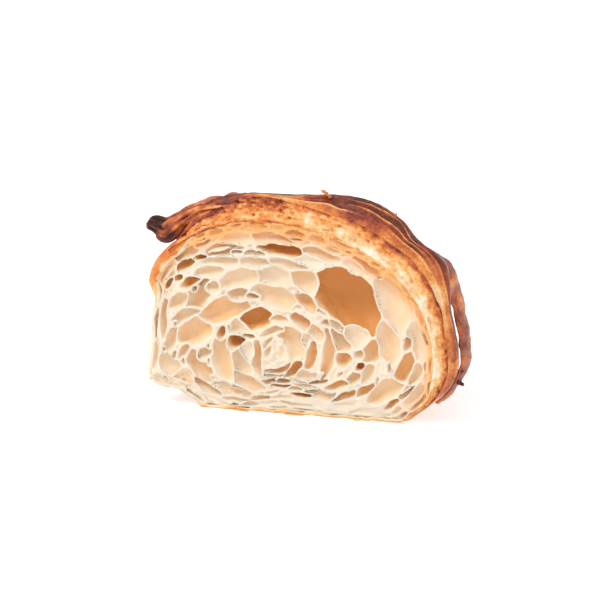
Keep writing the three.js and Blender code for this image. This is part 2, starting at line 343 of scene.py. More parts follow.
def band_swell(turn, y):
    """How proud the bands stand and the share along each: each rises by a sine to its edge, then drops."""
    ends = [wrap_edge(band, turn) for band in range(3)] + [np.full_like(turn, HALF_LENGTH)]
    starts = [np.zeros_like(turn)] + [end + EDGE_LENGTH for end in ends[:3]]
    swell = np.zeros(np.broadcast(turn, y).shape)
    share_along = np.zeros_like(swell)
    for band in range(4):
        share = np.clip((y - starts[band]) / (ends[band] - starts[band]), 0.0, 1.0)
        here = WRAP_LIPS[band] * np.sin(math.pi * (0.07 + 0.55 * share))
        inside = y >= starts[band] - 1e-6
        swell = np.where(inside, here, swell)
        share_along = np.where(inside, share, share_along)
        if band < 3:
            drop = ease(ends[band], starts[band + 1], y)
            low = WRAP_LIPS[band + 1] * math.sin(math.pi * 0.07)
            swell = np.where(y > ends[band], mix(here, low, drop), swell)
    return swell, share_along


def skin_wrinkles(x, y, z):
    """Fine folds that run round the body, and soft blisters."""
    folds = soft_noise(31, 2.4, x * 0.35, y * 1.6, z * 0.35, 2)
    blisters = soft_noise(33, 5.0, x, y, z, 2)
    return 0.16 * folds + 0.28 * blisters


def shoulder(x, z):
    """How far the crust's front edge turns in, at a point of the outline: most on the upper left."""
    left = ease(-27.0, -37.0, x)
    low = between((7.0, 13.0), (18.0, 24.0), z)
    return SHOULDER_LEAST + SHOULDER_UPPER * left * ease(25.0, 32.0, z) + SHOULDER_LOWER * left * low


def make_crust():
    """The baked outside as a cup: from a wall behind the crumb, inside the rim, then back to the horn.

    Rows run along y and rings round the outline, at body_point(turn, y, proud). Proud is the bands' swell
    with wrinkles and peeling layers, less the shoulder. Rows follow the wandering edges, so each is crisp.
    """
    turn = (np.arange(CRUST_AROUND) / CRUST_AROUND)[None, :]
    x0, z0, _, _ = section(turn)
    knots = [0.0]
    for band in range(3):
        knots += [wrap_edge(band, turn), wrap_edge(band, turn) + EDGE_LENGTH]
    knots = [np.broadcast_to(k, turn.shape) for k in knots + [HALF_LENGTH]]
    rows = CRUST_ROWS
    y = [mix(a, b, (np.arange(n) / n)[:, None]) for a, b, n in zip(knots[:-2], knots[1:-1], rows[:-1])]
    last = np.sin(np.arange(rows[-1] + 1) / rows[-1] * math.pi / 2)[:, None]
    y = np.concatenate(y + [mix(knots[-2], knots[-1], last)])
    under_wrap = between((STRAP_ROOT, STRAP_FULL), (STRAP_THINS, STRAP_TIP), turn)
    torn_left = ease(-25.0, -38.0, x0) * (1.0 - ease(24.0, 34.0, z0))
    rim = np.maximum(0.05, 0.3 + 0.35 * soft_noise(41, 3.0, x0, 0.0, z0, 2))
    rim = rim + 0.45 * under_wrap + 0.9 * torn_left
    y = y + rim * (1.0 - ease(0.0, 4.0, y))
    swell, share = band_swell(turn, y)
    px, py, pz = body_point(turn, y, 0.0)
    low_side = 0.4 + 0.6 * ease(2, 12, z0)
    proud = swell * low_side * ease(0.0, 2.0, y) + skin_wrinkles(px, py, pz) * ease(0.3, 3.0, y)
    torn_edge = 1.0 - ease(0.0, 3.0, y)
    proud = proud + edge_layers(turn, y) + 0.45 * torn_edge * soft_noise(47, 1.5, x0, y, z0, 3)
    proud = proud - shoulder(x0, z0) * (1.0 - np.clip(y / 4.0, 0.0, 1.0)) ** 2
    x, yy, z = body_point(turn, y, proud)
    inner_y = np.array([CRUMB_DEPTH + 2.0, CRUMB_DEPTH + 2.0, CRUMB_DEPTH + 1.9, 11.0, 6.0, 3.0, 1.2, 0.5])
    inner_y = inner_y[:, None]
    inner_in = np.array([30.0, 8.0, CRUST_THICK + 0.5] + 4 * [CRUST_THICK] + [0.3])
    turned_in = shoulder(x0, z0) * np.array([0, 0, 1, 1, 1, 1, 1, 1])[:, None]
    ix, iy, iz = body_point(turn, inner_y + rim * 0.5, -inner_in[:, None] - turned_in)
    x = np.concatenate([ix, x])
    yy = np.concatenate([iy, yy])
    z = np.concatenate([iz, z])
    flat = FLOOR_GAP * (1.0 + soft_noise(43, 2.0, x, yy, z))
    inside_lift = np.concatenate([np.ones(len(inner_y)), np.zeros(len(y))])[:, None]
    z = np.maximum(z, flat + inside_lift * (0.9 + 0.55 * soft_noise(48, 2.6, x0, 0.0, z0, 2)))
    bake = 0.50 + 0.22 * share + 0.12 * soft_noise(45, 9.0, px, py, pz, 2) + 0.10 * (pz / 50.0)
    under = 1.0 - ease(0.3, 5.0, pz)
    bake = mix(bake, 0.36 + 0.16 * soft_noise(46, 2.4, px, py, pz, 2), under)
    front_left = ease(-25.0, -38.0, px) * (1.0 - ease(1.0, 6.0, py))
    bake = mix(bake, 0.50 * ease(20.0, 34.0, pz), front_left)
    bake = mix(bake, 0.14, under_wrap * (1.0 - ease(1.2, 2.4, y)))
    bake = np.concatenate([mix(0.15, 0.02, ease(-20.0, -34.0, ix)), bake])
    share = np.concatenate([np.zeros(ix.shape), share])
    return closed_tube("crust", x, yy, z, {"bake": bake, "gloss": ease(0.1, 0.5, share)})


def edge_layers(turn, y):
    """Thin layers that peel just before each edge: small steps down, at places that wander round it."""
    total = 0.0
    x0, z0, _, _ = section(turn)
    for band in range(3):
        edge = wrap_edge(band, turn)
        for step, ahead in enumerate(PEELS_AHEAD):
            where = edge - ahead - 0.8 * (1 + soft_noise(50 + 3 * band + step, 8.0, x0, 0.0, z0, 2))
            drop = between((where, where + PEEL_DROP), (edge, edge + EDGE_LENGTH), y)
            total = total - PEEL_THICK * drop
    return total


# --- the outermost wrap -----------------------------------------------------------------------------
def strap_thickness(turn):
    """How thick the outermost wrap is round the body: thickest on the shoulder at the upper right."""
    full = mix(STRAP_FLANK, STRAP_TOP, ease(STRAP_FULL, STRAP_THICKENS, turn))
    full = full + STRAP_SHOULDER * ease(*SHOULDER_RISES, turn) * (1.0 - ease(*SHOULDER_FALLS, turn))
    return full * ease(STRAP_ROOT, STRAP_FULL, turn) * (1.0 - ease(STRAP_THINS, STRAP_TIP, turn))


def terrace_zone(turn):
    """How far back the terraces reach, the torn face's share of the thickness, and how upper right it is."""
    upper_right = between((0.17, 0.22), (0.28, 0.34), turn)
    top = ease(0.30, 0.37, turn)
    reach_back = 5.0 + 3.5 * upper_right - 1.5 * top
    torn_share = 0.58 - 0.16 * upper_right + 0.26 * top - 0.55 * ease(0.385, 0.43, turn)
    return reach_back, torn_share, upper_right


def wrap_height(turn, y):
    """Height of the outer wrap over the body: its torn face's share, then the terraces' rise to full, then a
    slow fall to the back edge. A bell-shaped blister and a dip beside it lie on the right flank.
    """
    reach_back, torn_share, _ = terrace_zone(turn)
    rise = torn_share + (1.0 - torn_share) * ease(1.0, reach_back, y) ** 0.8
    flank = 1.0 - ease(0.13, 0.20, turn)
    thinned = mix(1.0, STRAP_BACK - 0.10 * flank, ease(2.6, mix(WRAP_EDGES[0], 15.0, flank), y))
    crown = 0.5 * np.sin(math.pi * np.clip(y / WRAP_EDGES[0], 0.0, 1.0))
    crown = crown + (bell(turn, *BLISTER) - bell(turn, *DIP)) * ease(2.0, 6.0, y)
    return np.maximum(strap_thickness(turn), 0.0) * thinned * rise + crown


def terraces(turn, y):
    """Steps of the thin layers on the outer wrap, each rising to a thin edge and falling back behind it, and
    where those edges get a painted highlight.
    """
    x0, z0, _, _ = section(turn)
    reach_back, _, upper_right = terrace_zone(turn)
    strength = 0.35 + 0.65 * upper_right
    total, crest_highlights = 0.0, 0.0
    for step, share in enumerate(TERRACES):
        at = 1.5 + (reach_back - 1.5) * (share + 0.07 * soft_noise(91 + step, 9.0, x0, 0.0, z0, 2))
        fade = ease(-0.5, 0.1, soft_noise(97 + step, 16.0, x0, 0.0, z0))
        before = np.exp(-np.clip((at - y) / 0.9, 0.0, None)) * (y < at)
        after = np.exp(-np.clip((y - at) / 0.16, 0.0, None)) * (y >= at)
        total = total + strength * fade * (0.62 * (before + after) - 0.25)
        # Where each layer's edge gets its painted highlight.
        crest_highlights = crest_highlights + strength * fade * np.exp(-((y - at) / 0.22) ** 2)
    return total, np.clip(crest_highlights, 0.0, 1.0)


def make_outer_wrap():
    """The thick outer wrap: closed loops in the plane of y and height, carried along the outline.

    A loop goes up the torn front face, over the terraces of thin layers, back along the glossy outside, down
    the back edge and forward again inside the body.
    """
    turn = mix(STRAP_ROOT - 0.004, STRAP_TIP + 0.004, np.arange(WRAP_AROUND) / (WRAP_AROUND - 1))[:, None]
    x0, z0, _, _ = section(turn)
    round_mm = turn * LINE_LENGTH
    thick = np.maximum(strap_thickness(turn), 0.0)
    reach_back, _, _ = terrace_zone(turn)
    face_back = 1.3 + 0.35 * soft_noise(61, 4.0, x0, 0.0, z0, 2)
    edge = wrap_edge(0, turn)
    v_face = np.linspace(0.0, 1.0, FACE_ROWS)[None, :]
    face_y = mix(FACE_TUCKED, FACE_FRONT, ease(0.0, 0.13, v_face)) + face_back * v_face**1.4
    face_top = wrap_height(turn, FACE_FRONT + face_back)
    face_h = -1.2 + (face_top + 1.2) * v_face
    _, fy, _ = body_point(turn, face_y, face_h)
    fibres = soft_noise(66, 0.8, round_mm * 0.7, face_h, fy * 0.6, 3)
    lines = soft_noise(67, 1.0, face_h * 1.7, round_mm * 0.25, fy * 0.0, 2)
    pits = np.clip(soft_noise(68, 1.1, round_mm * 0.55, face_h, fy, 3) - 0.40, 0.0, 0.7)
    ragged = np.sin(math.pi * v_face) ** 0.5
    face_y = face_y + (0.30 * fibres + 0.30 * lines + 1.3 * pits) * ragged
    near = np.linspace(0.0, 1.0, NEAR_ROWS)[None, 1:]
    far = np.linspace(0.0, 1.0, FAR_ROWS)[None, 1:]
    near_y = mix(FACE_FRONT + face_back, reach_back + 1.5, near)
    far_y = mix(reach_back + 1.5, edge, far)
    top_y = np.concatenate([near_y, far_y], axis=1)
    top_h = wrap_height(turn, top_y)
    step_h, crest_highlight = terraces(turn, top_y)
    tx, ty, tz = body_point(turn, top_y, top_h)
    lie = ease(0.3, 2.5, thick)
    wrinkles = skin_wrinkles(tx, ty, tz)
    top_h = top_h + (step_h * ease(1.2, 2.6, top_y) + wrinkles * ease(2.0, 6.0, top_y)) * lie
    back_y = edge + np.array([0.4, 0.6, 0.5, 0.0, -3.0])[None, :]
    back_h = top_h[:, -1:] * np.array([0.85, 0.4, -0.2, -0.9, -1.2])[None, :]
    back_h = back_h - np.array([0, 0, 0.3, 0.6, 0.8])
    under_y = np.array([17.0, 12.0, 7.0, 3.0, 1.0])[None, :] + 0.0 * turn
    under_h = np.full(under_y.shape, -1.6)
    y = np.concatenate([face_y, top_y, back_y, under_y], axis=1)
    high = np.concatenate([face_h, top_h, back_h, under_h], axis=1)
    high = np.where(thick < 0.4, np.minimum(high, thick * 2.0 - 0.6), high)
    x, yy, z = body_point(turn, y, high)
    z = np.maximum(z, FLOOR_GAP)
    fringe = ease(0.74, 1.0, v_face)
    inner_line = 1.0 - ease(0.10, 0.22, v_face)
    flank = 1.0 - ease(0.20, 0.30, turn)
    top = ease(0.30, 0.40, turn)
    cream = (1.0 - ease(0.25, 0.8, v_face)) * (1.0 - ease(0.25, 0.34, turn))
    face_bake = (0.28 - 0.15 * cream + 0.12 * v_face + 0.08 * flank * ease(0.40, 0.9, v_face) + 0.12 * top
                 + (0.24 + 0.12 * top) * fringe + 0.20 * inner_line * ease(0.24, 0.30, turn)
                 + 0.16 * fibres + 0.08 * lines + (0.04 + 0.34 * ease(0.26, 0.34, turn)) * pits)
    patch = soft_noise(69, 7.0, tx, ty, tz, 2)
    # Painted shade in the crevice just behind each layer's edge.
    terrace_crevice_shade = np.roll(crest_highlight, 3, axis=1) * (1.0 - crest_highlight)
    right = (1.0 - ease(0.13, 0.20, turn)) * (1.0 + 0.55 * ease(5.0, 10.0, top_y))
    # Each layer's edge is painted lighter as a highlight, and the crevice behind it darker as shade.
    top_bake = (0.62 + 0.36 * ease(1.6, 5.0, top_y) - 0.22 * right + 0.28 * patch - 0.60 * crest_highlight
                + 0.26 * terrace_crevice_shade - 0.10 * wrinkles)
    top_bake = top_bake + 0.14 * ease(0.3, 0.8, soft_noise(70, 5.0, tx, ty, tz, 2)) * ease(3.0, 6.0, top_y)
    top_bake = np.minimum(top_bake, 0.90)
    bake = np.concatenate([face_bake, top_bake, np.full(back_y.shape, 0.5), np.full(under_y.shape, 0.3)],
                          axis=1)
    gloss = np.concatenate([np.zeros(face_y.shape), np.broadcast_to(ease(1.0, 2.2, top_y), top_h.shape),
                            np.full(back_y.shape, 0.2), np.zeros(under_y.shape)], axis=1)
    return closed_tube("outer_wrap", x, yy, z, {"bake": bake, "gloss": gloss})


# --- strips along a path: the loose tip and the blistered skin --------------------------------------
def open_curve(points, count):
    """A smooth curve through the points, evenly spaced: a Catmull-Rom spline with straight ends."""
    knots = np.array(points, float)
    ends = np.concatenate([[2 * knots[0] - knots[1]], knots, [2 * knots[-1] - knots[-2]]])
    p0, p1, p2, p3 = (ends[i:len(ends) - 3 + i][:, None, :] for i in range(4))
    t = (np.arange(24) / 24)[None, :, None]
    dense = 0.5 * (2 * p1 + (p2 - p0) * t + (2 * p0 - 5 * p1 + 4 * p2 - p3) * t**2
                   + (3 * p1 - p0 - 3 * p2 + p3) * t**3)
    dense = np.concatenate([dense.reshape(-1, knots.shape[1]), knots[-1:]])
    step = np.linalg.norm(np.diff(dense[:, :3], axis=0), axis=1)
    share = np.concatenate(([0.0], np.cumsum(step))) / step.sum()
    even = np.linspace(0.0, 1.0, count)
    return np.stack([np.interp(even, share, dense[:, i]) for i in range(knots.shape[1])], axis=1)


# Rows along each strip and points round it.
TIP_GRID, SKIN_GRID, FLAKE_GRID = (170, 110), (220, 56), (24, 14)
# The loose tip: x, y, z, half width across y, half thickness.
TIP_PATH = (
    (-5, 8.6, 53.2, 3.4, 0.9), (-13.5, 8.5, 54.0, 5.6, 1.4), (-20.5, 8.3, 53.6, 6.8, 1.8),
    (-28.5, 8, 52.0, 6.6, 2.2), (-35.2, 7.4, 48.3, 5.2, 2.4), (-39.0, 6.8, 45.5, 3.8, 2.9),
    (-41.2, 6.3, 46.3, 2.3, 1.9), (-44.8, 6, 47.4, 2.0, 1.7),
)


def make_wrap_tip():
    """The outer wrap's loose end: oval sections carried along a path, with sharp folds that run along it.

    Each fold is the size of a sine, so it has a round back and a sharp valley, and the folds twist slowly.
    """
    line = open_curve(TIP_PATH, TIP_GRID[0])
    along = np.gradient(line[:, :3], axis=0)
    along = along / np.linalg.norm(along[:, [0, 2]], axis=1)[:, None]
    out_x, out_z = along[:, 2:3], -along[:, 0:1]
    share, turn = rings(*TIP_GRID)
    closing = np.sqrt(np.clip(1 - (2 * share - 1) ** 30, 0.0, 1.0))
    lumps = soft_noise(71, 0.6, np.cos(turn), np.sin(turn), share * 9.0, 2)
    rope = np.abs(np.sin(3.5 * turn + 5.0 * share + 1.3)) + 0.6 * np.abs(np.sin(6 * turn - 9.0 * share))
    folds = 0.80 * (rope - 1.0) + (0.45 + 0.35 * ease(0.80, 0.92, share)) * lumps
    wide = (line[:, 3:4] + folds) * closing * np.cos(turn)
    thick = (line[:, 4:5] + folds) * closing * np.sin(turn)
    x = line[:, 0:1] + out_x * thick
    y = line[:, 1:2] + wide
    z = line[:, 2:3] + out_z * thick
    dark = (0.75 - 0.10 * ease(0.15, 0.40, share) + 0.16 * soft_noise(72, 2.5, x, y, z, 2)
            - 0.16 * (rope - 1.0) + 0.28 * ease(0.74, 0.90, share))
    gloss = 0.8 - 0.6 * ease(0.8, 0.95, share)
    return closed_tube("wrap_tip", x, y, z, {"bake": dark, "gloss": gloss})


SKIN_FROM, SKIN_TO = 0.020, 0.215   # shares of the way round where the blistered skin starts and ends
SKIN_BACK = 14.5                    # y of its middle
SKIN_WIDE, SKIN_THICK = 4.6, 0.80   # half width and half thickness
SKIN_GAP = 2.6                      # how far its middle stands off the outer wrap
SKIN_FLARE = 0.24                   # how much more its back edge stands off, per millimetre of width


def make_lifted_skin():
    """The blistered skin over the right flank: an oval section carried round the outline, off the wrap.

    It rises from just over the wrap at its lower end to the gap, eases back again, and dips under the wrap's
    surface at its upper end.
    """
    share, phase = rings(*SKIN_GRID)
    turn = mix(SKIN_FROM, SKIN_TO, share)
    x0, z0, _, _ = section(turn)
    wave = soft_noise(73, 6.0, x0, 0.0, z0, 2)
    narrowing = 0.5 + 0.5 * np.sin(math.pi * np.clip(share, 0.02, 0.98)) ** 0.5
    wide = SKIN_WIDE * (1.0 + 0.18 * wave) * narrowing
    wrinkle = soft_noise(74, 1.6, share * 40.0, np.cos(phase) * 1.6, 0.0, 2)
    y = SKIN_BACK + 0.8 * wave + wide * np.cos(phase)
    gap = 0.6 + (SKIN_GAP - 0.6) * ease(0.0, 0.26, share) * (1.0 - 0.78 * ease(0.50, 0.74, share))
    gap = gap - 3.2 * ease(0.66, 1.0, share)
    high = wrap_height(turn, SKIN_BACK) + gap + SKIN_THICK * np.sin(phase) + 0.30 * wrinkle
    high = high + SKIN_FLARE * (y - SKIN_BACK) * np.sin(math.pi * np.clip(share, 0.0, 0.99)) ** 0.5
    x, yy, z = body_point(turn, y, high)
    z = np.maximum(z, 0.3)
    dark = 0.66 + 0.14 * soft_noise(69, 7.0, x, yy, z, 2) - 0.12 * wrinkle - 0.06 * ease(0.22, 0.0, share)
    dark = dark + 0.14 * ease(0.55, 0.75, share)
    return closed_tube("lifted_skin", x, yy, z, {"bake": np.minimum(dark, 0.84), "gloss": 0.6})


# Loose flakes: share of the way round and y of the foot, lift of the foot above the body, direction in
# degrees from +X towards +Z, length, half width, half thickness, how far baked. The last lie under the cut.
FLAKES = (
    (0.296, 4.4, 8.0, 138, 3.4, 1.1, 0.20, 0.58), (0.232, 7.5, 9.6, 62, 1.6, 0.8, 0.16, 0.66),
    (0.160, 11.0, 5.6, 40, 1.6, 0.8, 0.16, 0.80), (0.056, 13.0, 2.6, -52, 3.8, 1.0, 0.50, 0.95),
    (0.064, 12.0, 2.8, -20, 2.6, 0.8, 0.34, 0.84), (0.985, -0.5, 3.0, -168, 9.0, 1.0, 0.30, 0.08),
    (0.948, -0.7, 3.2, -176, 7.0, 0.8, 0.26, 0.12), (0.868, -0.3, 3.0, 176, 6.0, 0.7, 0.24, 0.30),
    (0.800, -0.4, 3.1, -174, 5.0, 0.6, 0.22, 0.34),
)


def make_flakes():
    """Loose flakes of crust: thin curled leaves, each a closed tube of flat oval rings that narrows."""
    rows = FLAKE_GRID[0]
    share, phase = rings(*FLAKE_GRID)
    made = []
    for number, (turn, y0, lift, direction, length, half_wide, half_thick, dark) in enumerate(FLAKES):
        x0, _, z0 = (v.item() for v in body_point(np.array([turn]), np.array([y0]), lift))
        angle = math.radians(direction) + 0.35 * share**2
        along = np.cumsum(np.cos(angle), axis=0) * length / rows
        rise = np.cumsum(np.sin(angle), axis=0) * length / rows
        taper = np.sqrt(np.clip(1.0 - np.abs(2.0 * share - 0.8) ** 3.0 / 1.73, 0.02, 1.0))
        ragged = 1.0 + 0.45 * soft_noise(76 + number, 0.25, share * 2.0, 0.0, 0.0, 2)
        wide = half_wide * taper * ragged * np.cos(phase)
        curl = 0.8 * soft_noise(96 + number, 0.5, share * 4.0, wide, 0.0)
        thick = half_thick * taper * (np.sin(phase) + curl)
        x = x0 + along - np.sin(angle) * thick
        z = np.maximum(z0 + rise + np.cos(angle) * thick, 0.05 + 0.05 * np.sin(phase))
        bake = np.broadcast_to(dark - 0.1 * share, x.shape)
        made.append(closed_tube("flake_%d" % (number + 1), x, y0 + wide, z, {"bake": bake, "gloss": 0.2}))
    return made


# --- the crumb --------------------------------------------------------------------------------------
def reach(angle):
    """How far the outline is from the roll's middle, in a direction."""
    away = np.arctan2(LINE_Z - ROLL_Z, LINE_X - ROLL_X)
    distance = np.hypot(np.maximum(LINE_Z, 0.0) - ROLL_Z, LINE_X - ROLL_X)
    order = np.argsort(away)
    return np.interp(angle, away[order], distance[order], period=2 * math.pi)


def rolled_reach(angle):
    """How far the open cells reach from the roll's middle: to a dense rind, thickest on top."""
    rind = 0.6 + 3.0 * ease(0.0, 0.6, np.sin(angle)) * ease(-0.98, -0.6, np.cos(angle))
    return reach(angle) - rind


def rolled_place(angle, radius):
    """x and z at an angle and a distance from the roll's middle."""
    return ROLL_X + radius * math.cos(angle), ROLL_Z + radius * math.sin(angle)


def bend_round(x, z, tilt):
    """How much a cell bends, per millimetre, so that its ends curve towards the roll's middle."""
    out_x, out_z = x - ROLL_X, z - ROLL_Z
    side = out_z * math.cos(tilt) - out_x * math.sin(tilt)
    return math.copysign(0.8 / max(math.hypot(out_x, out_z), 5.0), side)


def crumb_cells():
    """Every cell: x, y, z, half length, half depth, half height, tilt, bend, and its painted shade.

    The cells follow the rolled layers: they are set one after another along a spiral from the middle
    outwards, and one that falls in a cell of the list above is left out.
    """
    rng = np.random.default_rng(SEED)
    chosen = []
    for number, (x, z, a, b, tilt, look) in enumerate(OPEN_CELLS):
        deep = look if number < DEEP_CELLS else min(look, 1.3 + 0.28 * look)
        # The cell's painted shade: more for a cell listed as looking deeper.
        painted_cell_shade = min(max((look - 2.0) / 8.0, 0.0), 1.0)
        tilt = math.radians(tilt)
        chosen.append((x, 0.08 * deep, z, a, deep, b, tilt, bend_round(x, z, tilt), painted_cell_shade))
    for x, y, z, a, deep, b, *rest in list(chosen[:DEEP_CELLS]):
        chosen.append((x, y, z, DEEP_CELL_SPACE * a, deep, DEEP_CELL_SPACE * b, *rest))
    cells = chosen[:len(OPEN_CELLS)]
    angle = 2 * math.pi * SPIRAL_START
    while angle < 2 * math.pi * ROLL_LAYERS:
        share = angle / (2 * math.pi * ROLL_LAYERS)
        room = rolled_reach(angle)
        radius = share * room
        spacing = room / ROLL_LAYERS
        long_side = mix(2.0, 4.6, share**0.8) * rng.uniform(0.6, 1.45)
        x, z = rolled_place(angle, radius)
        next_x, next_z = rolled_place(angle + AHEAD, share * rolled_reach(angle + AHEAD))
        tilt = math.atan2(next_z - z, next_x - x) + rng.normal(0.0, 0.09)
        shift = rng.normal(0.0, 0.15) * spacing
        x, z = x - math.sin(tilt) * shift, z + math.cos(tilt) * shift
        high = max(mix(0.44, 0.58, ease(1.4, 2.2, spacing)) * spacing * rng.uniform(0.70, 1.25), 0.5)
        low = 1.0 - ease(4.0, 12.0, z)
        deep = rng.uniform(1.4, 3.0) * mix(1.0, 0.6, low)
        back = rng.uniform(-0.45, 0.25) * deep
        bend = bend_round(x, z, tilt)
        if not covered(x, z, chosen, 1.3, 0.8):
            # The last value is the cell's painted shade.
            cells.append((x, back, z, long_side, deep, high, tilt, bend, rng.uniform(0.05, 0.28)))
        angle += SPIRAL_STEP * long_side / max(radius, 3.0)
    small = small_cells(rng, cells + chosen[len(OPEN_CELLS):])
    return [kept_inside(cell) for cell in cells + small]


def kept_inside(cell):
    """The cell with its depth cut so that it never breaks through the back of the crumb."""
    x, y, z, a, deep, b, tilt, bend, painted_cell_shade = cell
    return x, y, z, a, min(deep, (CRUMB_DEPTH - 1.6 - y) / CELL_REACH), b, tilt, bend, painted_cell_shade


def small_cells(rng, cells):
    """Small flat cells wherever a random point of the cut lies in plain dough, along the rolled layers."""
    made = []
    for _ in range(SMALL_CELL_TRIES):
        angle = rng.uniform(0, 2 * math.pi)
        radius = max(math.sqrt(rng.uniform(0.0, 1.0)) * reach(angle), ROLL_HEART)
        x, z = rolled_place(angle, radius)
        a = rng.uniform(0.8, 2.3) * mix(0.7, 1.2, radius / 38.0)
        b = a * rng.uniform(0.28, 0.6)
        next_x, next_z = rolled_place(angle + AHEAD, radius * reach(angle + AHEAD) / reach(angle))
        tilt = math.atan2(next_z - z, next_x - x)
        if not covered(x, z, cells, 0.7 * a, 0.8 + 0.6 * b) and not covered(x, z, made, a + 0.1, b + 0.2):
            deep = rng.uniform(0.8, 1.8)
            back, bend = rng.uniform(-0.3, 0.4) * deep, bend_round(x, z, tilt)
            # The last value is the cell's painted shade.
            made.append((x, back, z, a, deep, b, tilt, bend, rng.uniform(0.05, 0.25)))
    return made


def covered(x, z, cells, more_length=0.4, more_height=0.5):
    """True if a point of the cut lies inside one of the cells, grown by some millimetres."""
    for cx, _, cz, a, _, b, tilt, _, _ in cells:
        dx, dz = x - cx, z - cz
        along = dx * math.cos(tilt) + dz * math.sin(tilt)
        across = dz * math.cos(tilt) - dx * math.sin(tilt)
        if (along / (a + more_length)) ** 2 + (across / (b + more_height)) ** 2 < 1.0:
            return True
    return False


def outline_depth(x, z):
    """How far inside the outline each point of a plane is: to its nearest point, and less than 0 outside.

    The outline winds once round a point inside it and not at all round one outside.
    """
    line_x, line_z = LINE_X[::8], LINE_Z[::8]
    flat_x, flat_z = x.reshape(-1, 1), z.reshape(-1, 1)
    nearest = np.sqrt(((flat_x - line_x) ** 2 + (flat_z - line_z) ** 2).min(1)).reshape(x.shape)
    turn = np.angle(np.exp(1j * (np.arctan2(np.roll(line_z, -1) - flat_z, np.roll(line_x, -1) - flat_x)
                                 - np.arctan2(line_z - flat_z, line_x - flat_x)))).sum(1).reshape(x.shape)
    return np.where(np.abs(turn) > math.pi, nearest, -nearest)


def smooth_least(first, second, radius):
    """The lesser of two values, rounded off where they are within radius of each other."""
    share = np.clip(0.5 + 0.5 * (second - first) / radius, 0.0, 1.0)
    return mix(second, first, share) - radius * share * (1.0 - share)


def rolled_sheet(x, y, z):
    """Millimetres from the rolled sheet of dough, which winds out as a spiral between the rows of cells.

    On it, the turns out from the middle less the share of the way round are a whole number and a half. The
    sheet thins out and tears where a slow noise is low.
    """
    angle = np.arctan2(z - ROLL_Z, x - ROLL_X)
    room = rolled_reach(angle)
    turns = ROLL_LAYERS * np.hypot(x - ROLL_X, z - ROLL_Z) / room - angle / (2 * math.pi)
    away = np.abs(turns - np.floor(turns) - 0.5) * room / ROLL_LAYERS
    slow = soft_noise(86, 5.5, x, y, z, 2)
    thick = mix(SHEET_THIN, SHEET_THICK, 0.5 + 0.5 * slow)
    torn = ease(-0.15, -0.45, soft_noise(87, 4.5, x, y, z, 2)) + ease(2.4, 1.7, room / ROLL_LAYERS)
    return away - thick / 2 + 2.0 * torn


